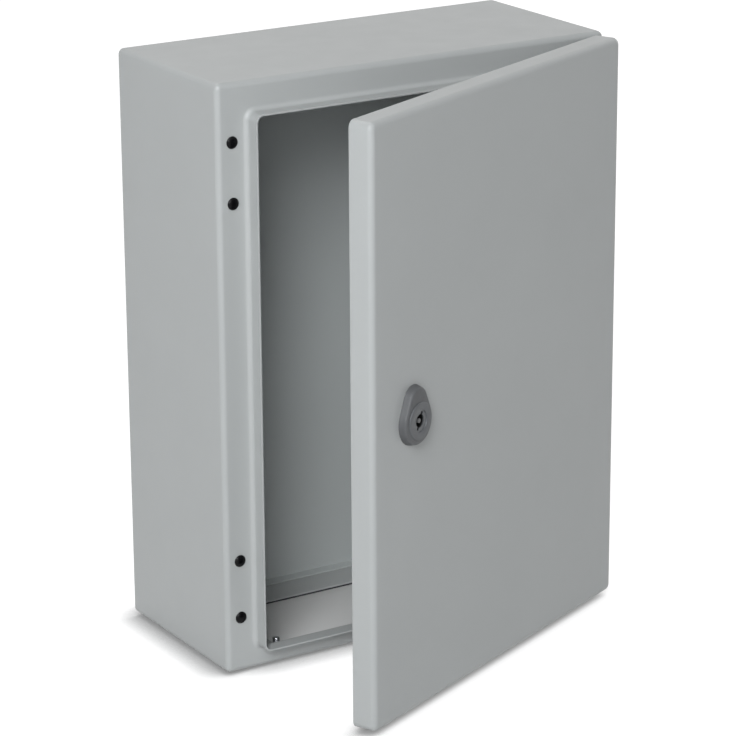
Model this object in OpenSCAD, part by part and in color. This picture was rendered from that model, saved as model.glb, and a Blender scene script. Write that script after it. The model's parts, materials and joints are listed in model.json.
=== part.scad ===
// Steel wall enclosure with a concealed-hinge door and a quarter-turn lock.
// Each piece is drawn in a face frame: x to the right, y up, z out of the wall.
// standing() then turns it upright, so the wall plane is Y = 0 and the front looks along -Y.

/* [Body] */
// Width of the body, side to side
body_w = 300; // [260:1:500]
// Height of the body
body_h = 400; // [360:1:700]
// Depth of the body, from the wall to the sealing flange
body_d = 131; // [110:1:260]
// Thickness of the folded wrap
wrap_t = 1.2; // [1:0.1:2]
// Outer radius of the body's folded edges
edge_r = 4; // [3:0.5:6]

/* [Sealing lip] */
// Side of the body to the lip
lip_side = 22; // [22:0.5:26]
// Top of the body to the lip
lip_top = 20; // [18:0.5:26]
// Bottom of the body to the lip
lip_bottom = 15; // [14:0.5:26]
// Height of the lip above the flange
lip_rise = 12.5; // [9:0.5:13]
// Outer corner radius of the lip
lip_r = 5.5; // [4:0.5:9]
// Inner radius of the fold between flange and lip
fold_r = 3.5; // [2:0.5:4]

/* [Back panel] */
// Thickness of the welded back panel
back_t = 1.5; // [1:0.1:2.5]
// Depth of the rim that is welded inside the wrap
back_rim = 10; // [6:1:14]
// Wall holes, distance across
wall_pitch_x = 250; // [200:1:254]
// Wall holes, distance up
wall_pitch_y = 350; // [300:1:354]
// Radius of a wall hole
wall_hole_r = 4.25; // [3:0.25:5]
// Mounting-plate studs, distance across
plate_pitch_x = 225; // [180:1:230]
// Mounting-plate studs, distance up
plate_pitch_y = 325; // [280:1:330]
// Radius of a mounting-plate stud
plate_stud_r = 3; // [2.5:0.5:4]
// Length of a mounting-plate stud
plate_stud_l = 18; // [12:1:30]

/* [Gland plate] */
// Width of the cable opening in the floor
gland_w = 196; // [120:1:200]
// Sealing flange to the front edge of the cable opening
gland_front = 21; // [18:1:40]
// Wall plane to the rear edge of the cable opening
gland_rear = 35; // [32:1:36]
// Border of the gland plate around the opening
gland_border = 11; // [10:0.5:12]
// Corner radius of the opening
gland_r = 5; // [3:0.5:8]
// Thickness of the gland plate
gland_t = 1.5; // [1:0.1:3]
// Thickness of the gland gasket
gland_gasket_t = 1; // [0.5:0.5:4]
// Radius of a gland plate stud
gland_stud_r = 2.5; // [2:0.25:3]
// Length of a gland plate stud above the plate
gland_stud_l = 12; // [10:1:18]

/* [Door] */
// Gap between the sealing flange and the closed door
door_gap = 2; // [1.5:0.25:3]
// Depth of the door pan
door_d = 17; // [16:0.5:20]
// Thickness of the door sheet
door_t = 1.5; // [1.2:0.1:2]
// Step from the side of the body to the side of the door
door_step_x = 1; // [0.5:0.25:1.5]
// Step from the top of the body to the top of the door
door_step_y = 1.5; // [0.5:0.25:3]
// Outer radius of the fold around the door's face
door_edge_r = 4; // [2:0.25:4.25]
// Corner radius of the door's outline
door_corner_r = 5; // [4.5:0.5:8]
// Angle that the door stands open
door_open = 24; // [0:1:100]

/* [Door gasket] */
// Width of the foam gasket
foam_w = 9; // [8:0.5:9]
// Height of the foam gasket
foam_h = 7; // [5.5:0.5:7.5]
// Corner radius of the foam's edges
foam_edge_r = 1.5; // [0.5:0.25:2]
// Room between the lip and the groove that it has pressed in the foam
foam_clear = 0.9; // [0.8:0.1:1.2]

/* [Hole plugs] */
// Radius of a plug's head
plug_r = 4.1; // [3.2:0.1:4.8]
// Height of a plug's domed head
plug_h = 1.7; // [1:0.1:1.9]
// Height of the straight rim under the dome
plug_rim = 0.5; // [0.2:0.1:0.8]

/* [Hinges] */
// Middle of the body to the middle of a hinge
hinge_y = 141.5; // [80:0.5:150]
// Side of the body to the hinge axis
hinge_in = 6.5; // [6:0.25:8]
// Closed door's face to the hinge axis
hinge_back = 8.5; // [8:0.25:10]
// Radius of a hinge pin
pin_r = 1.5; // [1:0.1:1.7]
// Radius of a hinge knuckle
knuckle_r = 3; // [2.5:0.1:3.2]
// Length of the fixed knuckle
knuckle_l = 20; // [14:1:24]
// Length of each door knuckle
ear_l = 10; // [6:1:10]
// Play between neighbouring knuckles
knuckle_gap = 0.3; // [0.2:0.1:0.6]
// Thickness of the bracket's foot
foot_t = 2.5; // [2:0.25:3]
// Side of the body to the edge of the bracket's foot
foot_in = 18; // [17.5:0.25:18]
// Width of the bracket's foot
foot_w = 11.5; // [10:0.25:11.5]
// Length of the bracket's foot
foot_l = 54; // [52:1:58]
// Thickness of the gooseneck
neck_t = 3; // [2:0.25:3.25]
// Outer radius of the gooseneck's elbow
neck_r = 5; // [4:0.5:6]
// Thickness of the door leaf
leaf_t = 2; // [1.5:0.25:2.5]
// Width of the door leaf
leaf_w = 12; // [11:0.5:12]
// Length of the door leaf
leaf_l = 62; // [60:1:70]
// Distance between the two screws of a hinge
hinge_pitch = 40; // [36:1:44]
// Distance between the two studs under a door leaf
leaf_pitch = 50; // [49:1:52]
// Side of the body to the hinge screws and the plugged holes
screw_in = 11; // [10.5:0.25:11.5]
// Radius of the hinge screws
screw_r = 2; // [1.5:0.25:2]

// Depth of the door return's notch along a whole hinge
foot_notch = 4; // [3.75:0.25:5]
// Depth of the door return's notch at the gooseneck
neck_notch = 7; // [6.75:0.25:8]

/* [Lock] */
// Side of the body to the middle of the lock
lock_in = 45; // [44:0.5:60]
// Radius of the threaded lock barrel
barrel_r = 11; // [9:0.5:11]
// Width over the barrel's two flats
barrel_flats = 20; // [17:0.5:20]
// Radius of the raised collar
collar_r = 12.3; // [11.5:0.1:13]
// Height of the raised collar
collar_h = 0.75; // [0.5:0.25:2.5]
// Height of the escutcheon
plate_h = 5.5; // [4.5:0.5:9]
// Draft of the escutcheon's side over its height
plate_draft = 0.8; // [0.2:0.1:1.5]
// Radius that rounds the escutcheon's top edge
plate_round = 1.5; // [0.5:0.1:2]
// Radius of the escutcheon's round end
plate_r = 15.7; // [15:0.1:17]
// Radius of the escutcheon's narrow end
plate_tip_r = 8; // [6:0.5:10]
// Lock centre to the centre of the narrow end
plate_tip_y = 16.8; // [12:0.1:22]
// Radius of the rotor
rotor_r = 7; // [6.5:0.25:7.5]
// Rotor's face below the collar
rotor_sink = 0.8; // [0.2:0.1:1.5]
// Radius of the key well
well_r = 4.5; // [4:0.25:5]
// Depth of the key well
well_deep = 8; // [5:0.5:12]
// Reach of the key bit slots
bit_reach = 6.2; // [5:0.1:6.2]
// Width of the key bit slots
bit_w = 2.6; // [2:0.1:3.5]
// Lean of the key bit slots from upright, clockwise from the front
bit_lean = 25; // [0:5:90]
// Radius of the pin in the key well
well_pin_r = 1.5; // [1:0.1:2]
// Width over flats of the lock nut
lock_nut_flats = 27; // [26:0.5:28]
// Thickness of the lock nut
lock_nut_t = 4.5; // [3:0.5:6]
// Thickness of the lock washer
lock_washer_t = 1.2; // [0.8:0.1:2]
// Radius of the lock washer
lock_washer_r = 15; // [14:0.5:16]
// Reach of the cam
cam_l = 31; // [29:0.5:34]
// Width of the cam's arm
cam_w = 13; // [10:0.5:16]
// Thickness of the cam
cam_t = 3; // [2:0.25:4]
// Room between the closed cam and the flange that it holds
cam_clear = 0.5; // [0.3:0.1:1]
// Cam to the end of the lock barrel
barrel_gap = 0.3; // [0.2:0.1:1]
// Side of the rotor's square shank
shank_w = 8; // [6:0.5:8.5]
// Radius of the cam screw's thread
cam_screw_r = 2.5; // [2:0.25:3]
// Length of the cam screw's thread
cam_screw_l = 10; // [8:1:14]

/* [Earth studs] */
// Radius of an earth stud
earth_r = 3; // [2.5:0.5:4]
// Length of an earth stud
earth_l = 15; // [12:1:20]
// Side of the body to the earth studs
earth_in = 55; // [45:1:80]
// Bottom of the body to the earth studs
earth_up = 50; // [40:1:80]

/* [Hidden] */
$fn = 64;
slip = 0.05;          // radial play of a pin, a shaft or a thread in its hole
hole_play = 0.3;      // radial room around a screw or stud in a drilled sheet
cut = 1;              // how far a cutting shape runs past the face it cuts
far = 1000;           // longer than any profile
edge_break = 0.4;     // chamfer of the lock collar
weld_h = 0.6;         // height of the collar that welding leaves at the foot of a stud
rim_t = wrap_t;
lip_w = body_w - 2 * lip_side;
lip_h = body_h - lip_top - lip_bottom;
lip_y = (lip_bottom - lip_top) / 2;
door_w = body_w - 2 * door_step_x;
door_h = body_h - 2 * door_step_y;
face_z = body_d + door_gap + door_d;
inner_z = face_z - door_t;
hinge_x = body_w / 2 - hinge_in;
hinge_z = face_z - hinge_back;
screw_x = body_w / 2 - screw_in;
foot_x = body_w / 2 - foot_in;
ear_y = knuckle_l / 2 + knuckle_gap;
lock_x = -(body_w / 2 - lock_in);
cam_front = body_d - wrap_t - cam_clear;
barrel_end = cam_front + barrel_gap;
gland_d = body_d - gland_rear - gland_front;
gland_z = gland_rear + gland_d / 2;
gland_stud_x = (gland_w + gland_border) / 2;
gland_stud_z = (gland_d + gland_border) / 2;
floor_y = -body_h / 2;
earth_x = body_w / 2 - earth_in;
earth_y = floor_y + earth_up;
paint = [0.76, 0.77, 0.76];
zinc = [0.72, 0.73, 0.75];
foam = [0.18, 0.18, 0.19];
black = [0.06, 0.06, 0.07];
lock_grey = [0.36, 0.36, 0.37];

// ---- placing ----

module standing() rotate([90, 0, 0]) children();

// Swings closed-door geometry open about the hinge axis.
module swung()
  translate([hinge_x, 0, hinge_z]) rotate([0, door_open, 0])
    translate([-hinge_x, 0, -hinge_z]) children();

module at_lock() translate([lock_x, 0, 0]) children();

// Copies at the four corners of a rectangle.
module corners(w, h)
  for (x = [-w / 2, w / 2], y = [-h / 2, h / 2]) translate([x, y, 0]) children();

// ---- outlines and sweeps ----

module rounded(w, h, r) {
  square([w - 2 * r, h], center = true);
  square([w, h - 2 * r], center = true);
  corners(w - 2 * r, h - 2 * r) circle(r);
}

module quarter_ring(r, t)
  intersection() {
    difference() {
      circle(r);
      circle(r - t);
    }
    square(r);
  }

// Sweeps a profile around a rounded rectangle. The profile's x points out of the outline.
module around(w, h, r)
  for (i = [0:3]) {
    a = i % 2 == 0 ? w : h;
    b = i % 2 == 0 ? h : w;
    rotate([0, 0, 90 * i]) {
      translate([a / 2, b / 2 - r, 0]) rotate([90, 0, 0]) linear_extrude(b - 2 * r) children();
      translate([a / 2 - r, b / 2 - r, 0]) rotate_extrude(angle = 90) intersection() {
        translate([r, 0]) children();
        square(far);
      }
    }
  }

// A hexagon nut with a round hole, resting on z = 0.
module nut(flats, t, hole_r)
  difference() {
    cylinder(r = flats / 2 / cos(30), h = t, $fn = 6);
    translate([0, 0, -cut]) cylinder(r = hole_r, h = t + 2 * cut);
  }

// ---- body ----

module wall_profile() {
  translate([-wrap_t, 0]) square([wrap_t, body_d - edge_r]);
  translate([-edge_r, body_d - edge_r]) quarter_ring(edge_r, wrap_t);
}

module lip_profile() {
  translate([fold_r, body_d + fold_r]) rotate(180) quarter_ring(fold_r + wrap_t, wrap_t);
  translate([-wrap_t, body_d + fold_r]) square([wrap_t, lip_rise - fold_r]);
}

module flange_holes()
  for (x = [-screw_x, screw_x], y = [-hinge_y, hinge_y])
    translate([x, y, body_d - wrap_t - cut])
      for (dy = [-hinge_pitch / 2, hinge_pitch / 2])
        translate([0, dy, 0]) cylinder(r = screw_r + hole_play, h = wrap_t + 2 * cut);

// A shape in the floor's plane, from height y downwards.
module on_floor(y, t) translate([0, y, gland_z]) rotate([90, 0, 0]) linear_extrude(t) children();

module gland_stud_holes() corners(2 * gland_stud_x, 2 * gland_stud_z) circle(gland_stud_r + hole_play);

module body_shell()
  color(paint) standing() difference() {
    union() {
      around(body_w, body_h, edge_r) wall_profile();
      translate([0, 0, body_d - wrap_t]) linear_extrude(wrap_t) difference() {
        square([body_w - 2 * edge_r, body_h - 2 * edge_r], center = true);
        translate([0, lip_y]) rounded(lip_w + 2 * fold_r, lip_h + 2 * fold_r, lip_r + fold_r);
      }
      translate([0, lip_y, 0]) around(lip_w, lip_h, lip_r) lip_profile();
    }
    flange_holes();
    on_floor(floor_y + wrap_t + cut, wrap_t + 2 * cut) {
      rounded(gland_w, gland_d, gland_r);
      gland_stud_holes();
    }
  }

module back_panel()
  color(paint) standing() difference() {
    linear_extrude(back_rim) rounded(body_w - 2 * wrap_t, body_h - 2 * wrap_t, edge_r - wrap_t);
    translate([0, 0, back_t]) linear_extrude(back_rim)
      rounded(body_w - 2 * wrap_t - 2 * rim_t, body_h - 2 * wrap_t - 2 * rim_t, edge_r - wrap_t - rim_t);
    translate([0, 0, -cut]) corners(wall_pitch_x, wall_pitch_y)
      cylinder(r = wall_hole_r, h = back_t + 2 * cut);
  }

// A welded stud: a low weld collar and a chamfered shank.
module weld_stud(r, l) {
  chamfer = r / 5;
  cylinder(r = r + weld_h, h = weld_h);
  cylinder(r = r, h = l - chamfer);
  translate([0, 0, l - chamfer]) cylinder(r1 = r, r2 = r - chamfer, h = chamfer);
}

module mounting_plate_studs()
  color(zinc) standing() translate([0, 0, back_t])
    corners(plate_pitch_x, plate_pitch_y) weld_stud(plate_stud_r, plate_stud_l);

module body_earth_stud()
  color(zinc) standing() translate([earth_x, earth_y, back_t]) weld_stud(earth_r, earth_l);

module earth_nut() nut(earth_r * 10 / 3, earth_r * 5 / 3, earth_r + slip);

module body_earth_nut()
  color(zinc) standing() translate([earth_x, earth_y, back_t + weld_h]) earth_nut();

module gland_plate()
  color(paint) standing() {
    on_floor(floor_y - gland_gasket_t, gland_t)
      rounded(gland_w + 2 * gland_border, gland_d + 2 * gland_border, gland_r);
    translate([0, floor_y - gland_gasket_t, gland_z]) rotate([-90, 0, 0])
      corners(2 * gland_stud_x, 2 * gland_stud_z) cylinder(r = gland_stud_r, h = gland_stud_l);
  }

module gland_gasket()
  color(foam) standing() on_floor(floor_y, gland_gasket_t) difference() {
    rounded(gland_w + 2 * gland_border, gland_d + 2 * gland_border, gland_r);
    rounded(gland_w, gland_d, gland_r);
    gland_stud_holes();
  }

module gland_nuts()
  color(zinc) standing() translate([0, floor_y + wrap_t, gland_z]) rotate([-90, 0, 0])
    corners(2 * gland_stud_x, 2 * gland_stud_z)
      nut(gland_stud_r * 3.2, gland_stud_r * 1.8, gland_stud_r + slip);

// A domed plug pressed into a flange hole, with a barb behind the sheet.
module hole_plug() {
  barb_h = 2;
  neck_r = screw_r + hole_play - slip;
  crown = plug_h - plug_rim;
  dome_r = (plug_r * plug_r + crown * crown) / (2 * crown);
  intersection() {
    translate([0, 0, plug_h - dome_r]) sphere(dome_r);
    cylinder(r = plug_r, h = plug_h);
  }
  translate([0, 0, -wrap_t - barb_h / 4]) cylinder(r = neck_r, h = wrap_t + barb_h / 2);
  translate([0, 0, -wrap_t - barb_h * 1.25])
    cylinder(r1 = screw_r * 0.8, r2 = neck_r + hole_play, h = barb_h);
}

module hinge_hole_plugs()
  color(black) standing()
    for (y = [-hinge_y, hinge_y], dy = [-hinge_pitch / 2, hinge_pitch / 2])
      translate([-screw_x, y + dy, body_d]) hole_plug();

// ---- hinges ----

// A prism along y from an outline in the x-z plane, centred on the hinge.
module along_y(l) rotate([90, 0, 0]) linear_extrude(l, center = true) children();

module hinge_bore(l, r) translate([hinge_x, 0, hinge_z]) rotate([90, 0, 0])
  cylinder(r = r, h = l, center = true);

module gooseneck_outline() {
  top = hinge_z + neck_t * 0.6;
  translate([foot_x, body_d]) square([neck_t, top - neck_r - body_d]);
  translate([foot_x + neck_r, top - neck_r]) rotate(90) quarter_ring(neck_r, neck_t);
  translate([foot_x + neck_r, top - neck_t]) square([hinge_x - foot_x - neck_r, neck_t]);
  translate([hinge_x, hinge_z]) circle(knuckle_r);
}

head_r = screw_r * 1.95;
module hinge_bracket()
  difference() {
    union() {
      along_y(knuckle_l) gooseneck_outline();
      translate([foot_x, -foot_l / 2, body_d]) cube([foot_w, foot_l, foot_t]);
    }
    hinge_bore(knuckle_l + 2 * cut, pin_r + slip);
    for (dy = [-hinge_pitch / 2, hinge_pitch / 2]) translate([screw_x, dy, body_d]) {
      translate([0, 0, -cut]) cylinder(r = screw_r + hole_play, h = foot_t + 2 * cut);
      translate([0, 0, foot_t - (head_r - screw_r)])
        cylinder(r1 = screw_r + slip, r2 = head_r + slip, h = head_r - screw_r);
    }
  }

module upper_hinge_bracket() color(zinc) standing() translate([0, hinge_y, 0]) hinge_bracket();
module lower_hinge_bracket() color(zinc) standing() translate([0, -hinge_y, 0]) hinge_bracket();

module at_hinge_screws()
  for (y = [-hinge_y, hinge_y], dy = [-hinge_pitch / 2, hinge_pitch / 2])
    translate([screw_x, y + dy, body_d]) children();

nut_t = screw_r * 1.6;
module hinge_bracket_screws()
  color(zinc) standing() at_hinge_screws() difference() {
    union() {
      translate([0, 0, foot_t - (head_r - screw_r)])
        cylinder(r1 = screw_r, r2 = head_r, h = head_r - screw_r);
      translate([0, 0, -wrap_t - nut_t - 1.5]) cylinder(r = screw_r, h = wrap_t + nut_t + 1.5 + foot_t - 1);
    }
    translate([0, 0, foot_t - 1.2]) cylinder(r = screw_r * 0.7, h = 1.2 + cut, $fn = 6);
  }

module hinge_bracket_nuts()
  color(zinc) standing() at_hinge_screws()
    translate([0, 0, -wrap_t - nut_t]) nut(screw_r * 3.5, nut_t, screw_r + slip);

leaf_x = body_w / 2 - door_step_x - door_edge_r;
module ear_outline() {
  translate([leaf_x - leaf_t, hinge_z]) square([leaf_t, inner_z - hinge_z]);
  translate([hinge_x, hinge_z]) circle(knuckle_r);
}

module at_leaf_studs()
  for (dy = [-leaf_pitch / 2, leaf_pitch / 2]) translate([screw_x, dy, inner_z]) children();

module hinge_leaf()
  difference() {
    union() {
      translate([leaf_x - leaf_w, -leaf_l / 2, inner_z - leaf_t]) cube([leaf_w, leaf_l, leaf_t]);
      for (s = [-1, 1]) translate([0, s * (ear_y + ear_l / 2), 0]) along_y(ear_l) ear_outline();
    }
    hinge_bore(2 * (ear_y + ear_l + cut), pin_r + slip);
    at_leaf_studs() translate([0, 0, -leaf_t - cut]) cylinder(r = screw_r + hole_play, h = leaf_t + 2 * cut);
  }

module upper_hinge_leaf() color(zinc) standing() swung() translate([0, hinge_y, 0]) hinge_leaf();
module lower_hinge_leaf() color(zinc) standing() swung() translate([0, -hinge_y, 0]) hinge_leaf();

module hinge_leaf_studs()
  color(zinc) standing() swung() for (y = [-hinge_y, hinge_y]) translate([0, y, 0])
    at_leaf_studs() translate([0, 0, -leaf_t - nut_t - 1]) cylinder(r = screw_r, h = leaf_t + nut_t + 1);

module hinge_leaf_nuts()
  color(zinc) standing() swung() for (y = [-hinge_y, hinge_y]) translate([0, y, 0])
    at_leaf_studs() translate([0, 0, -leaf_t - nut_t]) nut(screw_r * 3.5, nut_t, screw_r + slip);

// The pin has a button head above the upper knuckle.
module hinge_pin() {
  hinge_bore(2 * (ear_y + ear_l), pin_r);
  translate([0, ear_y + ear_l + 0.5, 0]) hinge_bore(1, pin_r + 0.8);
}

module upper_hinge_pin() color(zinc) standing() swung() translate([0, hinge_y, 0]) hinge_pin();
module lower_hinge_pin() color(zinc) standing() swung() translate([0, -hinge_y, 0]) hinge_pin();

// ---- door ----

module pan_profile() {
  translate([-door_t, face_z - door_d]) square([door_t, door_d - door_edge_r]);
  translate([-door_edge_r, face_z - door_edge_r]) quarter_ring(door_edge_r, door_t);
  translate([-door_corner_r, inner_z]) square([door_corner_r - door_edge_r, door_t]);
}

// The barrel's outline: round, with two flats that stop it turning.
module barrel_outline(play)
  intersection() {
    circle(barrel_r + play);
    square([barrel_flats + 2 * play, 2 * barrel_r + 4 * play], center = true);
  }

module hinge_notch() {
  rear = face_z - door_d;
  foot_len = leaf_l - 2;
  neck_len = knuckle_l + 3;
  translate([leaf_x, -foot_len / 2, rear - cut]) cube([door_edge_r + cut, foot_len, foot_notch + cut]);
  translate([leaf_x, -neck_len / 2, rear - cut]) cube([door_edge_r + cut, neck_len, neck_notch + cut]);
}

module door_panel()
  color(paint) standing() swung() difference() {
    union() {
      around(door_w, door_h, door_corner_r) pan_profile();
      translate([0, 0, inner_z]) linear_extrude(door_t)
        square([door_w - 2 * door_corner_r, door_h - 2 * door_corner_r], center = true);
    }
    for (y = [-hinge_y, hinge_y]) translate([0, y, 0]) hinge_notch();
    at_lock() translate([0, 0, inner_z - cut]) linear_extrude(door_t + 2 * cut) barrel_outline(0.2);
  }

// Foam section: a strip with rounded edges and the groove that the lip presses into it.
module foam_profile()
  difference() {
    translate([-wrap_t / 2, inner_z - foam_h / 2]) rounded(foam_w, foam_h, foam_edge_r);
    translate([-wrap_t - foam_clear, inner_z - foam_h - cut])
      square([wrap_t + 2 * foam_clear, body_d + lip_rise - inner_z + foam_h + cut + 0.3]);
  }

module door_gasket()
  color(foam) standing() swung() translate([0, lip_y, 0]) around(lip_w, lip_h, lip_r) foam_profile();

module door_earth_stud()
  color(zinc) standing() swung() translate([earth_x, earth_y, inner_z]) mirror([0, 0, 1])
    weld_stud(earth_r, earth_l);

module door_earth_nut()
  color(zinc) standing() swung() translate([earth_x, earth_y, inner_z - weld_h])
    mirror([0, 0, 1]) earth_nut();

// ---- lock ----

// One drafted round end of the escutcheon, with a rounded-over top edge.
module drafted_end(r)
  rotate_extrude($fn = 48) polygon([
    [0, 0], [r, 0], [r - plate_draft, plate_h - plate_round],
    for (a = [30:30:90])
      [r - plate_draft - plate_round * (1 - cos(a)), plate_h - plate_round * (1 - sin(a))],
    [0, plate_h]
  ]);

module lock_escutcheon()
  color(lock_grey) standing() swung() at_lock() translate([0, 0, face_z]) difference() {
    hull() {
      drafted_end(plate_r);
      translate([0, plate_tip_y, 0]) drafted_end(plate_tip_r);
    }
    translate([0, 0, -cut]) linear_extrude(plate_h + 2 * cut) barrel_outline(0.2);
  }

module lock_housing()
  color(lock_grey) standing() swung() at_lock() difference() {
    union() {
      translate([0, 0, barrel_end]) linear_extrude(face_z + plate_h - barrel_end) barrel_outline(0);
      translate([0, 0, face_z + plate_h]) cylinder(r = collar_r, h = collar_h - edge_break);
      translate([0, 0, face_z + plate_h + collar_h - edge_break])
        cylinder(r1 = collar_r, r2 = collar_r - edge_break, h = edge_break);
    }
    translate([0, 0, barrel_end - cut])
      cylinder(r = rotor_r + slip, h = face_z + plate_h + collar_h - barrel_end + 2 * cut);
  }

module lock_washer()
  color(zinc) standing() swung() at_lock() translate([0, 0, inner_z - lock_washer_t]) difference() {
    cylinder(r = lock_washer_r, h = lock_washer_t);
    translate([0, 0, -cut]) cylinder(r = barrel_r + hole_play, h = lock_washer_t + 2 * cut);
  }

module lock_nut()
  color(zinc) standing() swung() at_lock() translate([0, 0, inner_z - lock_washer_t - lock_nut_t])
    rotate(30) nut(lock_nut_flats, lock_nut_t, barrel_r + slip);

rotor_top = face_z + plate_h + collar_h - rotor_sink;
module lock_rotor()
  color(lock_grey) standing() swung() at_lock() {
    difference() {
      union() {
        translate([0, 0, cam_front]) cylinder(r = rotor_r, h = rotor_top - cam_front);
        translate([-shank_w / 2, -shank_w / 2, cam_front - cam_t]) cube([shank_w, shank_w, cam_t + cut]);
      }
      translate([0, 0, rotor_top - well_deep]) {
        cylinder(r = well_r, h = well_deep + cut);
        rotate(-bit_lean) translate([-bit_w / 2, -bit_reach, 0]) cube([bit_w, 2 * bit_reach, well_deep + cut]);
      }
      translate([0, 0, cam_front - cam_t - cut]) cylinder(r = cam_screw_r + slip, h = cam_screw_l + 2 + cut);
    }
    translate([0, 0, rotor_top - well_deep - 0.5]) cylinder(r = well_pin_r, h = well_deep);
  }

module lock_cam()
  color(zinc) standing() swung() at_lock() translate([0, 0, cam_front - cam_t]) linear_extrude(cam_t)
    difference() {
      union() {
        circle(rotor_r + 2.5);
        translate([-cam_w / 2, -cam_l + cam_w / 2]) square([cam_w, cam_l - cam_w / 2]);
        translate([0, -cam_l + cam_w / 2]) circle(cam_w / 2);
      }
      square(shank_w + 2 * slip, center = true);
    }

module cam_screw()
  color(zinc) standing() swung() at_lock() translate([0, 0, cam_front - cam_t]) {
    cylinder(r = cam_screw_r, h = cam_screw_l);
    translate([0, 0, -1]) cylinder(r = shank_w * 0.8, h = 1);
    translate([0, 0, -1 - cam_screw_r]) cylinder(r = cam_screw_r * 1.8, h = cam_screw_r, $fn = 6);
  }

body_shell();
back_panel();
mounting_plate_studs();
body_earth_stud();
body_earth_nut();
gland_plate();
gland_gasket();
gland_nuts();
hinge_hole_plugs();
upper_hinge_bracket();
lower_hinge_bracket();
hinge_bracket_screws();
hinge_bracket_nuts();
door_panel();
door_gasket();
upper_hinge_leaf();
lower_hinge_leaf();
hinge_leaf_studs();
hinge_leaf_nuts();
upper_hinge_pin();
lower_hinge_pin();
lock_escutcheon();
lock_housing();
lock_washer();
lock_nut();
door_earth_stud();
door_earth_nut();
lock_rotor();
lock_cam();
cam_screw();
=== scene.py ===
"""Looks of the steel wall enclosure: finishes, fine pieces, floor, light and camera."""
import json
import math

import bmesh
import bpy
from mathutils import Matrix, Vector


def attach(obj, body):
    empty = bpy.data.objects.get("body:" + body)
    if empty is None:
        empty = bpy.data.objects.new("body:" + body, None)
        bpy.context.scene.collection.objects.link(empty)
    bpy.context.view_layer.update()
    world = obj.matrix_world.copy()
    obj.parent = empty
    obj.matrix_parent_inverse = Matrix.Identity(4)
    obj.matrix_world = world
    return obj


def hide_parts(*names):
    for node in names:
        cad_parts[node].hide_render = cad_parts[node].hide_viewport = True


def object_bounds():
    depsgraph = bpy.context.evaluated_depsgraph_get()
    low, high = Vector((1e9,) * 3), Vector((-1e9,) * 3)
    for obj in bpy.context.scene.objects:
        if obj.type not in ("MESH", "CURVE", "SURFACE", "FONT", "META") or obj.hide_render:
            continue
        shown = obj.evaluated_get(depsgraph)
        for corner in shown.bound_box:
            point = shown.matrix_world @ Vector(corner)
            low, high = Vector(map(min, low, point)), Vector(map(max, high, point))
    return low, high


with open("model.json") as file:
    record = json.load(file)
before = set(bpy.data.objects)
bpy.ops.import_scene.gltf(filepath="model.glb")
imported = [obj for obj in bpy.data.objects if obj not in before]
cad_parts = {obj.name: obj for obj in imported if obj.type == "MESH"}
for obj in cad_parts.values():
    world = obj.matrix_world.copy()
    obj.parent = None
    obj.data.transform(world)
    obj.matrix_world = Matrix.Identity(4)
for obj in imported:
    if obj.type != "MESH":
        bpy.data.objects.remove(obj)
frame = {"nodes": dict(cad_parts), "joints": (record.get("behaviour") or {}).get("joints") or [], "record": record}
cad_low, cad_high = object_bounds()
nodes = frame["nodes"]
members_of = frame["record"]["behaviour"]["bodies"]
body_of = {node: body for body, members in members_of.items() for node in members}
slot_of = {name: node.material_slots[0].material.name.split(".")[0] for name, node in nodes.items()}
lock_turn = next(joint for joint in frame["joints"] if joint["name"] == "lock_turn")

MM = 0.001
UP = Vector((0, 0, 1))
FACING = Vector((0, -1, 0))                    # the way the enclosure looks
DOOR_FACING = -Vector(lock_turn["axis"])       # the way the open door looks
M4_R = 2.0 * MM                                # thread radius and pitch of the screws and studs
M4_PITCH = 0.7 * MM
M5_R = 2.5 * MM
M5_PITCH = 0.8 * MM
M6_PITCH = 1.0 * MM
CHAMFER_SLOPE = math.tan(math.radians(30))     # of the corners of hexagon nuts and heads


# ---- frames of reference ----

def axes_at(origin, out):
    """A frame whose z points along out, and whose y is as near to up as it can be."""
    out = out.normalized()
    upright = abs(out.z) > 0.9
    side = Vector((1, 0, 0)) if upright else UP.cross(out).normalized()
    rotation = Matrix((side, out.cross(side), out)).transposed()
    return Matrix.Translation(origin) @ rotation.to_4x4()


LOCK_AXES = axes_at(Vector(lock_turn["pos_m"]), DOOR_FACING)


def local_box(points, axes=Matrix()):
    """Lowest and highest corner of points, measured in a frame."""
    inside = [axes.inverted() @ point for point in points]
    return Vector(map(min, *inside)), Vector(map(max, *inside))


def node_box(node, axes=LOCK_AXES):
    """Lowest and highest corner of a CAD node, measured in a frame."""
    return local_box([vertex.co for vertex in nodes[node].data.vertices], axes)


def connected(items):
    """Sorts (item, ends) pairs into lists of the items that hang together by shared ends."""
    owner = {}

    def root(end):
        """The end that stands for all those joined to this one."""
        while owner.setdefault(end, end) != end:
            owner[end] = owner[owner[end]]
            end = owner[end]
        return end

    for _, ends in items:
        for end in ends[1:]:
            owner[root(end)] = root(ends[0])
    groups = {}
    for item, ends in items:
        groups.setdefault(root(ends[0]), []).append(item)
    return list(groups.values())


def solids_of(node):
    """The corner points of each separate solid of a CAD node."""
    mesh = nodes[node].data
    corners = [[mesh.vertices[index].co for index in polygon.vertices] for polygon in mesh.polygons]
    items = [(points, [tuple(round(c, 7) for c in point) for point in points]) for points in corners]
    return [[point for points in group for point in points] for group in connected(items)]


# ---- outlines: closed loops of points ----

def ring(radius, z, steps):
    """A circle."""
    return [(radius * math.cos(math.tau * step / steps), radius * math.sin(math.tau * step / steps), z)
            for step in range(steps)]


def hexagon(flats, z, steps, turn=0.0):
    """A hexagon, given its width across flats."""
    loop = []
    for step in range(steps):
        angle = math.tau * step / steps
        off = (angle - turn) % (math.pi / 3) - math.pi / 6
        radius = flats / 2 / math.cos(off)
        loop.append((radius * math.cos(angle), radius * math.sin(angle), z))
    return loop


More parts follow.
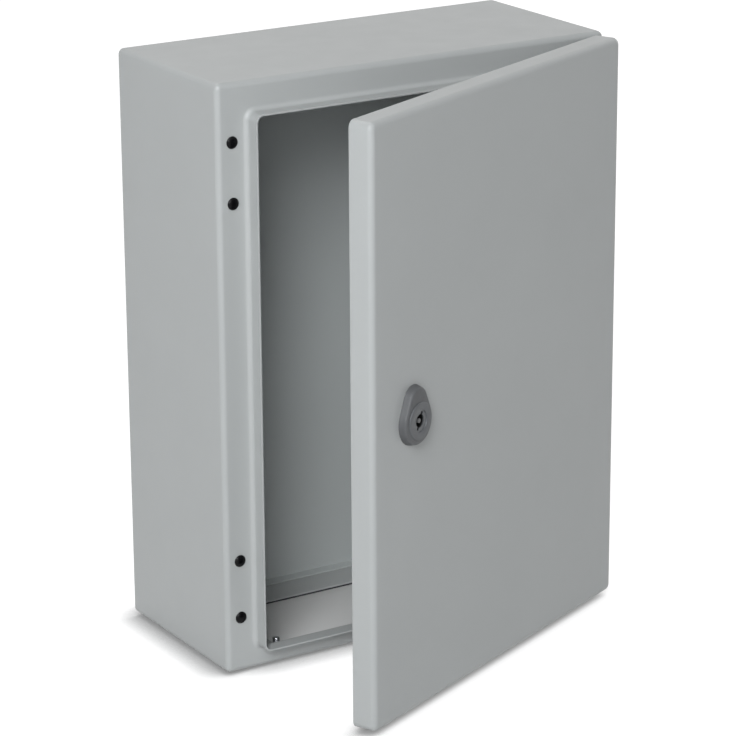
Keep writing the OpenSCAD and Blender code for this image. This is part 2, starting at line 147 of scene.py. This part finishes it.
def chamfered(hexagonal, face, z, sign):
    """A hexagon's corners drawn back along z where they lie outside a round face."""
    return [(x, y, z + sign * max(0.0, math.hypot(x, y) - face) * CHAMFER_SLOPE) for x, y, _ in hexagonal]


def on_circle(loop, radius, z):
    """A loop's points drawn straight in or out onto a circle."""
    return [(radius * x / math.hypot(x, y), radius * y / math.hypot(x, y), z) for x, y, _ in loop]


def between(first, last, share, z):
    """A loop part of the way from one loop to another."""
    return [(x + (to_x - x) * share, y + (to_y - y) * share, z)
            for (x, y, _), (to_x, to_y, _) in zip(first, last)]


def teardrop(big, small, reach, z, steps, sag):
    """Two circles, reach apart, and their common tangents; sag lowers the whole."""
    lean = math.asin((big - small) / reach)
    upper = [lean + (math.pi - 2 * lean) * step / steps for step in range(steps + 1)]
    lower = [math.pi - lean + (math.pi + 2 * lean) * step / steps for step in range(steps + 1)]
    loop = [(small * math.cos(a), reach + small * math.sin(a) - sag, z) for a in upper]
    return loop + [(big * math.cos(a), big * math.sin(a) - sag, z) for a in lower]


def rounded_path(width, height, radius, spacing=math.inf):
    """Places (point, outward direction) around a rounded rectangle; spacing divides its straights."""
    places = []
    corners = [(1, -1, -90), (1, 1, 0), (-1, 1, 90), (-1, -1, 180)]
    steps = 8
    for index, (side_x, side_y, start) in enumerate(corners):
        centre = Vector((side_x * (width / 2 - radius), side_y * (height / 2 - radius)))
        for step in range(steps):
            angle = math.radians(start + 90 * step / steps)
            outward = Vector((math.cos(angle), math.sin(angle)))
            places.append((centre + outward * radius, outward))
        next_x, next_y, following = corners[(index + 1) % len(corners)]
        ahead = Vector((next_x * (width / 2 - radius), next_y * (height / 2 - radius)))
        angle = math.radians(following)
        outward = Vector((math.cos(angle), math.sin(angle)))
        first = centre + outward * radius
        last = ahead + outward * radius
        across = (last - first).normalized()
        count = max(1, round((last - first).length / spacing))
        for step in range(count):
            places.append((first + (last - first) * step / count, Vector((across.y, -across.x))))
    return places


def thread_rows(radius, pitch, low, high, steps, tip=0.0, flats=math.inf):
    """Loops of a screw thread between two heights; tip is the high end's chamfer, flats cut its sides."""
    rows_per_turn = 6
    depth = pitch * 0.54
    flank = 1.3         # how steep the sides of a ridge are
    crest_flat = 0.15   # how far the top of a ridge is cut flat
    count = max(2, math.ceil((high - low) / pitch * rows_per_turn) + 1)
    rows = []
    for row in range(count):
        z = low + (high - low) * row / (count - 1)
        loop = []
        for step in range(steps):
            turn = step / steps
            saw = abs(2 * ((z / pitch - turn) % 1) - 1)
            crest = radius - depth * min(max(saw * flank - crest_flat, 0), 1)
            crest = min(crest, radius - max(0, z - (high - tip)))
            crest = min(crest, flats / 2 / max(abs(math.cos(math.tau * turn)), 1e-6))
            loop.append((crest * math.cos(math.tau * turn), crest * math.sin(math.tau * turn), z))
        rows.append(loop)
    return rows


# ---- mesh building: a part is (points, faces) ----

def stacked(loops, closed=False):
    """A skin through loops; closed joins the last loop to the first, and otherwise both are capped."""
    steps = len(loops[0])
    count = len(loops)
    points = [Vector(point) for loop in loops for point in loop]
    faces = []
    for row in range(count if closed else count - 1):
        low = row * steps
        high = (row + 1) % count * steps
        for step in range(steps):
            after = (step + 1) % steps
            faces.append((low + step, low + after, high + after, high + step))
    if not closed:
        faces.append(tuple(reversed(range(steps))))
        faces.append(tuple(range((count - 1) * steps, count * steps)))
    return points, faces


def merged(parts):
    """Several parts as one."""
    points, faces = [], []
    for part_points, part_faces in parts:
        start = len(points)
        points += part_points
        faces += [tuple(index + start for index in face) for face in part_faces]
    return points, faces


def placed(part, axes):
    """A part moved into a frame."""
    points, faces = part
    return [axes @ point for point in points], faces


def each_solid(node, out, build):
    """build(size) for each solid of a node, at the foot of its axis, which points along out."""
    parts = []
    for points in solids_of(node):
        low, high = local_box(points, axes_at(Vector(), out))
        foot = axes_at(Vector(), out) @ Vector(((low.x + high.x) / 2, (low.y + high.y) / 2, low.z))
        parts.append(placed(build(high - low), axes_at(foot, out)))
    return merged(parts)


def add_mesh(name, part):
    """Links a new mesh object."""
    points, faces = part
    mesh = bpy.data.meshes.new(name)
    mesh.from_pydata([tuple(point) for point in points], [], faces)
    mesh.validate()
    piece = bpy.data.objects.new(name, mesh)
    bpy.context.scene.collection.objects.link(piece)
    return piece


def make_piece(name, part, node, crease=35, slot=None, replaces=True):
    """A piece on a CAD node's body, in its finish, smooth but at edges sharper than crease degrees."""
    slot = slot or slot_of[node]
    piece = add_mesh(name, part)
    piece.data.shade_smooth()
    piece.data.set_sharp_from_angle(angle=math.radians(crease))
    piece.data.materials.append(OWN_FINISHES.get(node) or FINISHES[slot])
    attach(piece, body_of[node])
    if replaces:
        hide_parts(node)
    return piece


# ---- material building ----

def new_material(name):
    """A material, its node tree and its shader."""
    material = bpy.data.materials.new(name)
    material.use_nodes = True
    return material, material.node_tree, material.node_tree.nodes["Principled BSDF"]


def object_place(tree):
    """The place on the object, in metres, from one node that a tree's textures share."""
    coordinates = tree.nodes.get("Texture Coordinate") or tree.nodes.new("ShaderNodeTexCoord")
    return coordinates.outputs["Object"]


def noise(tree, scale, detail=2.0):
    """Noise with scale patches to the metre."""
    texture = tree.nodes.new("ShaderNodeTexNoise")
    texture.inputs["Scale"].default_value = scale
    texture.inputs["Detail"].default_value = detail
    tree.links.new(object_place(tree), texture.inputs["Vector"])
    return texture.outputs["Fac"]


def remap(tree, value, from_low, from_high, to_low=0.0, to_high=1.0):
    """Maps a value from one range onto another, and keeps it there."""
    node = tree.nodes.new("ShaderNodeMapRange")
    node.inputs["From Min"].default_value = from_low
    node.inputs["From Max"].default_value = from_high
    node.inputs["To Min"].default_value = to_low
    node.inputs["To Max"].default_value = to_high
    tree.links.new(value, node.inputs["Value"])
    return node.outputs["Result"]


def spread(tree, value, low, high):
    """Maps noise, which keeps near its middle, onto low to high."""
    return remap(tree, value, 0.3, 0.7, low, high)


def vector_math(tree, operation, value, constant=None):
    """The outputs of a vector operation on a value and, where it takes two, a constant."""
    node = tree.nodes.new("ShaderNodeVectorMath")
    node.operation = operation
    tree.links.new(value, node.inputs[0])
    if constant is not None:
        node.inputs[1].default_value = constant
    return node.outputs


def mixed(tree, share, colour, other):
    """Mixes a colour, or a colour output, with another colour by a share."""
    node = tree.nodes.new("ShaderNodeMix")
    node.data_type = "RGBA"
    tree.links.new(share, node.inputs["Factor"])
    if isinstance(colour, tuple):
        node.inputs["A"].default_value = (*colour, 1)
    else:
        tree.links.new(colour, node.inputs["A"])
    node.inputs["B"].default_value = (*other, 1)
    return node.outputs["Result"]


def tint(tree, shader, value, colour, change):
    """Base colour that varies by a share, change, of itself."""
    darker = tuple(c * (1 - change) for c in colour)
    lighter = tuple(min(c * (1 + change), 1) for c in colour)
    tree.links.new(mixed(tree, spread(tree, value, 0, 1), darker, lighter), shader.inputs["Base Color"])


def cloud_gloss(tree, shader, value, low, high):
    """Roughness that varies between two values."""
    tree.links.new(spread(tree, value, low, high), shader.inputs["Roughness"])


def relief(tree, shader, heights):
    """Bump from (height output, depth in millimetres) pairs, one on top of the other."""
    last = None
    for height, depth in heights:
        node = tree.nodes.new("ShaderNodeBump")
        node.inputs["Strength"].default_value = 1.0
        node.inputs["Distance"].default_value = depth * MM
        tree.links.new(height, node.inputs["Height"])
        if last is not None:
            tree.links.new(last, node.inputs["Normal"])
        last = node.outputs["Normal"]
    tree.links.new(last, shader.inputs["Normal"])


# ---- materials ----

def powder_coat(name, colour, roughness):
    """Satin polyester powder on sheet steel: faint orange peel and a fine grain."""
    material, tree, shader = new_material(name)
    tint(tree, shader, noise(tree, 14, detail=3), colour, change=0.012)
    cloud_gloss(tree, shader, noise(tree, 45), roughness - 0.03, roughness + 0.03)
    relief(tree, shader, [(noise(tree, 260, detail=1), 0.006), (noise(tree, 1500, detail=1), 0.0015)])
    shader.inputs["Specular IOR Level"].default_value = 0.35
    return material


def plated(name, colour, roughness, grain):
    """Zinc plating or bare steel: metallic, with a cloudy gloss and fine grain."""
    material, tree, shader = new_material(name)
    shader.inputs["Metallic"].default_value = 1.0
    tint(tree, shader, noise(tree, 120, detail=4), colour, change=0.06)
    cloud_gloss(tree, shader, noise(tree, 300, detail=3), roughness - 0.08, roughness + 0.1)
    relief(tree, shader, [(noise(tree, 900), grain)])
    return material


def moulded(name, colour, roughness, grain, specular, metallic=0.0):
    """Moulded plastic or coated die casting with a fine spark-eroded grain."""
    material, tree, shader = new_material(name)
    shader.inputs["Metallic"].default_value = metallic
    shader.inputs["Specular IOR Level"].default_value = specular
    tint(tree, shader, noise(tree, 200), colour, change=0.05)
    cloud_gloss(tree, shader, noise(tree, 500), roughness - 0.04, roughness + 0.04)
    relief(tree, shader, [(noise(tree, 2600), grain)])
    return material


def foam(name, colour):
    """Closed-cell polyurethane foam with its matt cast skin and small pores."""
    material, tree, shader = new_material(name)
    tint(tree, shader, noise(tree, 320, detail=3), colour, change=0.25)
    shader.inputs["Roughness"].default_value = 0.86
    cells = tree.nodes.new("ShaderNodeTexVoronoi")
    cells.inputs["Scale"].default_value = 1400
    tree.links.new(object_place(tree), cells.inputs["Vector"])
    relief(tree, shader, [(noise(tree, 240, detail=3), 0.15), (cells.outputs["Distance"], 0.05)])
    return material


def lock_face(name, colour):
    """Coated face of the lock's rotor, with painted shade that darkens it down the key well, and a steel pin in
    its middle.
    """
    # Painted shade: the colour goes near black down the key well, where the recess lies in shade.
    painted_well_shade = (0.006, 0.006, 0.006)
    pin_steel = (0.11, 0.11, 0.11)
    pin_radius = 1.7 * MM
    face = node_box("lock_rotor")[1].z
    painted_shade_below = face - 1.4 * MM
    unshaded_above = face - 0.2 * MM
    material, tree, shader = new_material(name)
    shader.inputs["Roughness"].default_value = 0.38
    from_axis = vector_math(tree, "SUBTRACT", object_place(tree), LOCK_AXES.translation)["Vector"]
    height = vector_math(tree, "DOT_PRODUCT", from_axis, DOOR_FACING)["Value"]
    across = vector_math(tree, "CROSS_PRODUCT", from_axis, DOOR_FACING)["Vector"]
    radius = vector_math(tree, "LENGTH", across)["Value"]
    # share of the rotor's own colour against the painted shade, by depth below the face
    lit = remap(tree, height, painted_shade_below, unshaded_above)
    pin = tree.nodes.new("ShaderNodeMath")
    pin.operation = "LESS_THAN"
    pin.inputs[1].default_value = pin_radius
    tree.links.new(radius, pin.inputs[0])
    whole = mixed(tree, pin.outputs["Value"], mixed(tree, lit, painted_well_shade, colour), pin_steel)
    tree.links.new(whole, shader.inputs["Base Color"])
    relief(tree, shader, [(noise(tree, 2600), 0.004)])
    return material


LOCK_COLOUR = (0.098, 0.102, 0.107)
FINISHES = {
    "paint_grey": powder_coat("powder_coat_light_grey", (0.397, 0.407, 0.402), 0.36),
    # The gland plate's neutral grey is its own tone; its lightness is partly painted light, for the light that
    # falls on it from above.
    "gland_paint": powder_coat("powder_coat_neutral_grey_partly_painted_light", (0.640, 0.632, 0.620), 0.45),
    "zinc_plate": plated("bright_zinc", (0.50, 0.51, 0.53), 0.34, 0.004),
    "zinc_cast": plated("matt_zinc", (0.42, 0.43, 0.44), 0.44, 0.008),
    "pin_steel": plated("drawn_steel", (0.46, 0.46, 0.47), 0.28, 0.002),
    "foam_rubber": foam("foam_skin", (0.022, 0.022, 0.023)),
    "black_plastic": moulded("black_polyamide", (0.003, 0.003, 0.0035), 0.24, 0.002, 0.12),
    "lock_grey": moulded("grey_polyamide", (0.086, 0.088, 0.091), 0.50, 0.006, 0.35),
    "lock_metal": moulded("grey_coated_casting", LOCK_COLOUR, 0.42, 0.004, 0.35, metallic=0.25),
}
OWN_FINISHES = {  # of nodes whose colour differs from the rest of their slot, by painted light or shade
    # Painted light: the back panel wears the body's powder coat made lighter, standing in for light inside the
    # enclosure.
    "back_panel": powder_coat("powder_coat_grey_back_painted_light", (0.470, 0.492, 0.486), 0.42),
    "lock_rotor": lock_face("lock_face_with_painted_well_shade", LOCK_COLOUR),
}


def dress_nodes():
    """Gives each CAD node its finish."""
    for name, node in nodes.items():
        for slot in node.material_slots:
            slot.material = OWN_FINISHES.get(name) or FINISHES[slot_of[name]]


# ---- sheet and machined parts ----

def long_sharp_edges(work):
    """Pairs of vertices of the sharp edges, without those of small holes."""
    sharpest_smooth = math.radians(35)
    longest_small = 13 * MM
    items = [(edge, [vertex.index for vertex in edge.verts]) for edge in work.edges
             if len(edge.link_faces) == 2 and edge.calc_face_angle() > sharpest_smooth]
    chosen = set()
    for edges in connected(items):
        low, high = local_box([vertex.co for edge in edges for vertex in edge.verts])
        if (high - low).length > longest_small:
            chosen |= {frozenset(vertex.index for vertex in edge.verts) for edge in edges}
    return chosen


def rounded_edges(node, width):
    """A CAD node's own shape with its long sharp edges rounded."""
    work = bmesh.new()
    work.from_mesh(nodes[node].data)
    bmesh.ops.remove_doubles(work, verts=work.verts, dist=0.001 * MM)
    bmesh.ops.dissolve_limit(work, angle_limit=math.radians(0.3), verts=work.verts, edges=work.edges)
    work.verts.index_update()
    points = [vertex.co.copy() for vertex in work.verts]
    faces = [tuple(vertex.index for vertex in face.verts) for face in work.faces]
    chosen = long_sharp_edges(work)
    work.free()
    piece = make_piece(f"{node}_rounded", (points, faces), node)
    weights = piece.data.attributes.new("bevel_weight_edge", "FLOAT", "EDGE")
    for edge in piece.data.edges:
        weights.data[edge.index].value = 1.0 if frozenset(edge.vertices) in chosen else 0.0
    bevel = piece.modifiers.new("rounding", "BEVEL")
    bevel.width = width * MM
    bevel.segments = 2
    bevel.limit_method = "WEIGHT"
    bevel.use_clamp_overlap = False
    bevel.harden_normals = True


def make_rounded_parts():
    """Sheet and machined parts whose edges the paint, plating or tumbling has rounded."""
    sheet = ("body_shell", "back_panel", "upper_hinge_bracket", "lower_hinge_bracket",
             "door_panel", "upper_hinge_leaf", "lower_hinge_leaf")
    for node in sheet:
        rounded_edges(node, 0.3)
    for node in ("upper_hinge_pin", "lower_hinge_pin"):
        rounded_edges(node, 0.15)
    rounded_edges("lock_cam", 0.25)


def make_gland_plate():
    """Pressed plate with rounded edges, and its four studs threaded."""
    low, high = node_box("gland_plate", Matrix())
    thick = 1.5 * MM
    radius = 5.0 * MM
    soft = 0.35 * MM
    centre = (low + high) / 2
    rows = [(soft, 0), (soft * 0.3, soft * 0.3), (0, soft), (0, thick - soft),
            (soft * 0.3, thick - soft * 0.3), (soft, thick)]
    loops = []
    for inset, z in rows:
        path = rounded_path(high.x - low.x - 2 * inset, high.y - low.y - 2 * inset, radius - inset)
        loops.append([(centre.x + point.x, centre.y + point.y, low.z + z) for point, _ in path])
    make_piece("gland_plate_pressed", stacked(loops), "gland_plate")
    length = high.z - low.z - thick
    studs = []
    for points in solids_of("gland_nuts"):
        nut_low, nut_high = local_box(points)
        middle = (nut_low + nut_high) / 2
        foot = Matrix.Translation((middle.x, middle.y, low.z + thick))
        studs.append(placed(stacked(thread_rows(M5_R, M5_PITCH, 0, length, 28, 0.6 * MM)), foot))
    make_piece("gland_plate_studs", merged(studs), "gland_plate", slot="zinc_plate", replaces=False)


# ---- fasteners ----

def welded_stud(size):
    """A welded stud: a smooth weld fillet, then a thread with a chamfered tip."""
    steps = 28
    weld = 0.6 * MM
    collar = size.x / 2
    radius = collar - weld
    quarter = [math.radians(angle) for angle in (0, 30, 60, 90)]
    fillet = [ring(collar - (collar - radius) * math.sin(a), (collar - radius) * (1 - math.cos(a)), steps)
              for a in quarter]
    thread_foot = collar - radius + M6_PITCH * 0.6
    return stacked(fillet + thread_rows(radius, M6_PITCH, thread_foot, size.z, steps, M6_PITCH))


def leaf_stud(size):
    """A stud of a hinge leaf, threaded to its foot."""
    return stacked(thread_rows(size.x / 2, M4_PITCH, 0, size.z, 24, 0.5 * MM))


def hex_nut(size, bore_share):
    """A nut with both faces chamfered and a countersunk bore, a share of its width across flats."""
    steps = 48
    thickness = size.z
    flats = min(size.x, size.y)
    turn = 0.0 if size.x > size.y else math.pi / 6
    face = flats / 2 * 0.95
    bore = flats / 2 * bore_share
    sink = bore * 1.1
    corners = hexagon(flats, 0, steps, turn)
    loops = [ring(bore, sink - bore, steps), ring(sink, 0, steps), ring(face, 0, steps),
             chamfered(corners, face, 0, 1), chamfered(corners, face, thickness, -1),
             ring(face, thickness, steps), ring(sink, thickness, steps),
             ring(bore, thickness - (sink - bore), steps)]
    return stacked(loops, closed=True)


def lock_washer(size):
    """A washer for the lock's barrel, with rounded edges."""
    steps = 64
    radius = size.x / 2
    thickness = size.z
    bore = 11.2 * MM
    edge = thickness * 0.2
    loops = [ring(bore, 0, steps), ring(radius - edge, 0, steps), ring(radius, edge, steps),
             ring(radius, thickness - edge, steps), ring(radius - edge, thickness, steps),
             ring(bore, thickness, steps)]
    return stacked(loops, closed=True)


def countersunk(size):
    """A countersunk socket screw, from the end of its thread to the flat of its head."""
    steps = 36
    head = size.x / 2
    rim = 0.2 * MM
    cone = head - M4_R
    socket = 2.5 * MM
    socket_deep = 1.3 * MM
    break_w = 0.3 * MM
    break_deep = 0.2 * MM
    loops = thread_rows(M4_R, M4_PITCH, 0, size.z - cone - rim, steps)
    loops += [ring(head, size.z - rim, steps), ring(head - rim * 0.6, size.z, steps),
              hexagon(socket + break_w, size.z, steps), hexagon(socket, size.z - break_deep, steps),
              hexagon(socket, size.z - socket_deep, steps)]
    return stacked(loops)


def flanged_bolt(size):
    """A flanged hexagon bolt, from the end of its thread to the top of its head."""
    steps = 48
    top = size.z
    collar_r = 4.8 * MM
    collar_t = 1.0 * MM
    head_t = 2.5 * MM
    dimple = 0.3 * MM
    seat = top - head_t - collar_t
    flats = M5_R * 3.1
    face = flats / 2 * 0.95
    loops = thread_rows(M5_R, M5_PITCH, 0, seat, steps)
    loops += [ring(collar_r, seat, steps), ring(collar_r, seat + collar_t * 0.7, steps),
              ring(collar_r * 0.93, seat + collar_t, steps), hexagon(flats, seat + collar_t, steps),
              chamfered(hexagon(flats, 0, steps), face, top, -1), ring(face, top, steps),
              ring(face * 0.55, top, steps), ring(face * 0.4, top - dimple, steps)]
    return stacked(loops)


def make_fasteners():
    """Threaded studs and screws and chamfered nuts in place of the plain ones."""
    inward = -DOOR_FACING
    studs = [("mounting_plate_studs", FACING, welded_stud), ("body_earth_stud", FACING, welded_stud),
             ("door_earth_stud", inward, welded_stud), ("hinge_leaf_studs", inward, leaf_stud)]
    for node, out, build in studs:
        make_piece(f"{node}_threaded", each_solid(node, out, build), node)
    nuts = [("body_earth_nut", FACING, 0.6), ("door_earth_nut", inward, 0.6), ("gland_nuts", UP, 0.625),
            ("hinge_bracket_nuts", FACING, 0.571), ("hinge_leaf_nuts", inward, 0.571),
            ("lock_nut", inward, 0.815)]
    for node, out, bore_share in nuts:
        nut = each_solid(node, out, lambda size: hex_nut(size, bore_share))
        make_piece(f"{node}_chamfered", nut, node)
    make_piece("lock_washer_rounded", each_solid("lock_washer", inward, lock_washer), "lock_washer")
    screws = each_solid("hinge_bracket_screws", FACING, countersunk)
    make_piece("hinge_bracket_screws_threaded", screws, "hinge_bracket_screws")
    low, high = node_box("cam_screw")
    thread_end = LOCK_AXES @ Matrix.Translation((0, 0, high.z)) @ Matrix.Rotation(math.pi, 4, "X")
    make_piece("cam_screw_threaded", placed(flanged_bolt(high - low), thread_end), "cam_screw")


# ---- hole plugs ----

def plug(size):
    """A pressed-in plug: snapped barb, neck, and a domed head with a thin rim."""
    steps = 40
    radius = size.x / 2
    barb = [(1.6, 0), (2.55, 1.6), (2.55, 2.0), (2.2, 2.3), (2.2, 3.7)]  # (radius, height) in mm
    seat = barb[-1][1] * MM
    rim = 0.45 * MM
    dome_r = radius - 0.3 * MM
    dome_h = size.z - seat - rim
    loops = [ring(r * MM, z * MM, steps) for r, z in barb]
    loops += [ring(radius - 0.1 * MM, seat, steps), ring(radius, seat + 0.15 * MM, steps),
              ring(radius, seat + rim * 0.7, steps), ring(radius - 0.15 * MM, seat + rim, steps)]
    for angle in (5, 15, 27, 40, 54, 68, 80):
        rise = math.radians(angle)
        loops.append(ring(dome_r * math.cos(rise), seat + rim + dome_h * math.sin(rise), steps))
    return stacked(loops)


def make_plugs():
    """The black plugs in the spare hinge holes."""
    make_piece("hinge_hole_plugs_domed", each_solid("hinge_hole_plugs", FACING, plug), "hinge_hole_plugs")


# ---- lock ----

def make_escutcheon():
    """Drafted teardrop cover with a soft top edge, a slight crown and a hole for the barrel."""
    low, high = node_box("lock_escutcheon")
    collar = node_box("lock_housing")[1].x
    height = high.z
    sag = 0.7 * MM
    big = -low.y + 0.4 * MM
    small = 10.8 * MM
    reach = high.y - small - 1.2 * MM
    foot = 0.4 * MM
    draft = 0.8 * MM
    soft = 2.2 * MM
    crown = 0.25 * MM
    sides = [(0.0, 0.0), (0.0, foot), (0.12 * draft, 2 * foot), (draft, height - soft - crown)]
    for angle in (15, 30, 45, 60, 75, 90):
        turn = math.radians(angle)
        sides.append((draft + soft * (1 - math.cos(turn)), height - crown - soft * (1 - math.sin(turn))))
    loops = [teardrop(big - inset, small - inset, reach, z, 48, sag) for inset, z in sides]
    outline = loops[-1]
    loops += [between(outline, on_circle(outline, collar, 0), share, height - crown + crown * share)
              for share in (0.35, 0.7)]
    loops += [on_circle(outline, collar, height), on_circle(outline, collar * 0.9, height),
              on_circle(outline, collar * 0.9, 0)]
    cover = placed(stacked(loops, closed=True), LOCK_AXES)
    make_piece("lock_escutcheon_moulded", cover, "lock_escutcheon", crease=50)


def make_barrel():
    """Lock barrel with its flats, thread, and a collar with rounded edges."""
    low, high = node_box("lock_housing")
    seat = node_box("lock_escutcheon")[1].z
    steps = 96
    top = high.z
    bottom = low.z
    collar = high.x
    barrel = 11.0 * MM
    flats = 20.0 * MM
    pitch = 1.5 * MM
    bore = 7.05 * MM
    soft = 0.5 * MM
    lip = 0.7 * MM
    thread_top = -1.5 * MM
    loops = [ring(bore, bottom, steps), ring(barrel - 1.6 * MM, bottom, steps)]
    loops += thread_rows(barrel, pitch, bottom + 0.4 * MM, thread_top, steps, flats=flats)
    loops += [ring(flats / 2, thread_top + 0.1 * MM, steps), ring(flats / 2, seat, steps),
              ring(collar, seat, steps)]
    for angle in (0, 22, 45, 68, 90):
        turn = math.radians(angle)
        loops.append(ring(collar - soft * (1 - math.cos(turn)), top - soft * (1 - math.sin(turn)), steps))
    loops += [ring(bore + lip, top, steps), ring(bore + lip * 0.3, top - lip * 0.3, steps),
              ring(bore, top - lip, steps)]
    barrel_part = placed(stacked(loops, closed=True), LOCK_AXES)
    make_piece("lock_barrel_threaded", barrel_part, "lock_housing", crease=40)


# ---- door gasket ----

def foam_outline(width, height, groove_width, groove_depth):
    """Bead section (across, up): soft shoulders, and the track that the lip has pressed."""
    count = 26
    points = [(-width / 2, 0.0)]
    for index in range(count + 1):
        across = math.sin((-1 + 2 * index / count) * math.pi / 2)
        up = (1 - abs(across) ** 5) ** 0.5
        track = math.exp(-((across * width / groove_width) ** 6))
        rise = 0.45 * height + 0.55 * height * up - groove_depth * track
        points.append((across * width / 2 * 0.995, rise))
    points.append((width / 2, 0.0))
    return points


def make_gasket():
    """Foam bead that is poured along the door, a little uneven."""
    low, high = node_box("door_gasket")
    width = 9.0 * MM
    corner_r = 5.5 * MM
    centre = (low + high) / 2
    span = high - low
    path = rounded_path(span.x - width, span.y - width, corner_r, 5 * MM)
    section = foam_outline(width, span.z, 3.4 * MM, 2.3 * MM)
    loops = []
    for index, (point, outward) in enumerate(path):
        s = math.tau * index / len(path)
        swell = 0.985 + 0.008 * math.sin(17 * s) + 0.006 * math.sin(41 * s + 1.3)
        wander = (0.06 * math.sin(23 * s + 0.6) + 0.05 * math.sin(9 * s)) * MM
        loop = []
        for across, up in section:
            place = point + outward * (across * swell + wander)
            loop.append((centre.x + place.x, centre.y + place.y, high.z - up * swell))
        loops.append(loop)
    bead = placed(stacked(loops, closed=True), LOCK_AXES)
    make_piece("door_gasket_bead", bead, "door_gasket", crease=60)


# ---- stage, light and camera ----

def larger(tree, value, other):
    """The larger of two values."""
    node = tree.nodes.new("ShaderNodeMath")
    node.operation = "MAXIMUM"
    tree.links.new(value, node.inputs[0])
    tree.links.new(other, node.inputs[1])
    return node.outputs["Value"]


def show_directly(tree, unseen, seen, surface):
    """Gives a surface one shader, and another to rays from the camera, off gloss and through glass."""
    rays = tree.nodes.new("ShaderNodeLightPath").outputs
    direct = larger(tree, rays["Is Camera Ray"], rays["Is Glossy Ray"])
    direct = larger(tree, direct, rays["Is Transmission Ray"])
    mix = tree.nodes.new("ShaderNodeMixShader")
    tree.links.new(direct, mix.inputs["Fac"])
    tree.links.new(unseen, mix.inputs[1])
    tree.links.new(seen, mix.inputs[2])
    tree.links.new(mix.outputs["Shader"], surface)


def contact_shade(tree):
    """White glow over a little grey, dimmed where the object stands close in front of the light."""
    towards_light = tree.nodes.new("ShaderNodeCombineXYZ")
    for axis, value in zip("XYZ", (0.5, -0.7, 1.0)):
        towards_light.inputs[axis].default_value = value
    near = tree.nodes.new("ShaderNodeAmbientOcclusion")
    near.samples = 8
    near.inputs["Distance"].default_value = 22 * MM  # how far from the contact the shadow starts
    tree.links.new(towards_light.outputs["Vector"], near.inputs["Normal"])
    grey = tree.nodes.new("ShaderNodeBsdfDiffuse")
    grey.inputs["Color"].default_value = (0.2, 0.2, 0.2, 1)
    glow = tree.nodes.new("ShaderNodeEmission")
    tree.links.new(remap(tree, near.outputs["AO"], 0.40, 0.95, 0.20, 0.985), glow.inputs["Strength"])
    both = tree.nodes.new("ShaderNodeAddShader")
    tree.links.new(grey.outputs["BSDF"], both.inputs[0])
    tree.links.new(glow.outputs["Emission"], both.inputs[1])
    return both.outputs["Shader"]


def make_floor():
    """A white floor with a faint shadow that is soft, and dark at the contact."""
    size = 8.0
    corners = [(-size, -size, 0), (size, -size, 0), (size, size, 0), (-size, size, 0)]
    floor = add_mesh("floor", (corners, [(0, 1, 2, 3)]))
    floor.location = (0, 0, cad_low.z)
    material, tree, shader = new_material("floor_white")
    tint(tree, shader, noise(tree, 3), (0.80, 0.80, 0.80), change=0.005)
    shader.inputs["Roughness"].default_value = 0.9
    shader.inputs["Specular IOR Level"].default_value = 0.1
    surface = tree.nodes["Material Output"].inputs["Surface"]
    show_directly(tree, shader.outputs["BSDF"], contact_shade(tree), surface)
    floor.data.materials.append(material)


def make_world():
    """Even studio fill; the background that the camera and the gloss see is white."""
    world = bpy.data.worlds.new("studio")
    bpy.context.scene.world = world
    world.use_nodes = True
    tree = world.node_tree
    fill = tree.nodes["Background"]
    fill.inputs["Color"].default_value = (0.97, 0.99, 1.0, 1)
    fill.inputs["Strength"].default_value = 0.07
    white = tree.nodes.new("ShaderNodeBackground")
    white.inputs["Color"].default_value = (1, 1, 1, 1)
    white.inputs["Strength"].default_value = 1.0
    surface = tree.nodes["World Output"].inputs["Surface"]
    show_directly(tree, fill.outputs["Background"], white.outputs["Background"], surface)


def direction(azimuth, elevation):
    """Unit vector towards a place at azimuth (0 in front, negative to the left) and elevation."""
    a = math.radians(azimuth)
    e = math.radians(elevation)
    return Vector((math.sin(a) * math.cos(e), -math.cos(a) * math.cos(e), math.sin(e)))


def make_lamps():
    """Soft round lamps at one distance, aimed at the middle of the enclosure."""
    distance = 3.2
    plain = (1.0, 0.995, 0.99)
    cool = (0.975, 1.0, 1.025)
    lamps = [  # name, azimuth, elevation, diameter, power and colour
        ("key", -42, 30, 1.3, 64, cool),
        ("front_low", -34, 12, 1.3, 17, cool),
        ("front_high", -34, 48, 1.3, 18, cool),
        ("rear_high", 175, 62, 2.0, 25.5, plain),
        ("right", 112, 12, 2.0, 15, plain),
    ]
    for name, azimuth, elevation, diameter, power, colour in lamps:
        lamp = bpy.data.lights.new(name, "AREA")
        lamp.color = colour
        lamp.shape = "DISK"
        lamp.size = diameter
        lamp.energy = power
        holder = bpy.data.objects.new(name, lamp)
        towards = direction(azimuth, elevation)
        holder.location = towards * distance
        holder.rotation_euler = towards.to_track_quat("Z", "Y").to_euler()
        bpy.context.scene.collection.objects.link(holder)


def make_camera():
    """A long lens from the front left, a little above."""
    azimuth = -31.79
    elevation = 17.75
    roll = -0.35
    place = (-1.10431, -1.85007, 0.64194)
    camera = bpy.data.cameras.new("camera")
    camera.sensor_width = 36.0
    camera.lens = 156.58
    holder = bpy.data.objects.new("camera", camera)
    turn = direction(azimuth, elevation).to_track_quat("Z", "Y").to_matrix()
    spin = Matrix.Rotation(math.radians(roll), 3, "Z")
    holder.matrix_world = Matrix.Translation(place) @ (turn @ spin).to_4x4()
    bpy.context.scene.collection.objects.link(holder)
    bpy.context.scene.camera = holder


make_camera()
dress_nodes()
make_rounded_parts()
make_fasteners()
make_gland_plate()
make_plugs()
make_escutcheon()
make_barrel()
make_gasket()
make_floor()
make_world()
make_lamps()
bpy.context.scene.view_settings.view_transform = "Standard"
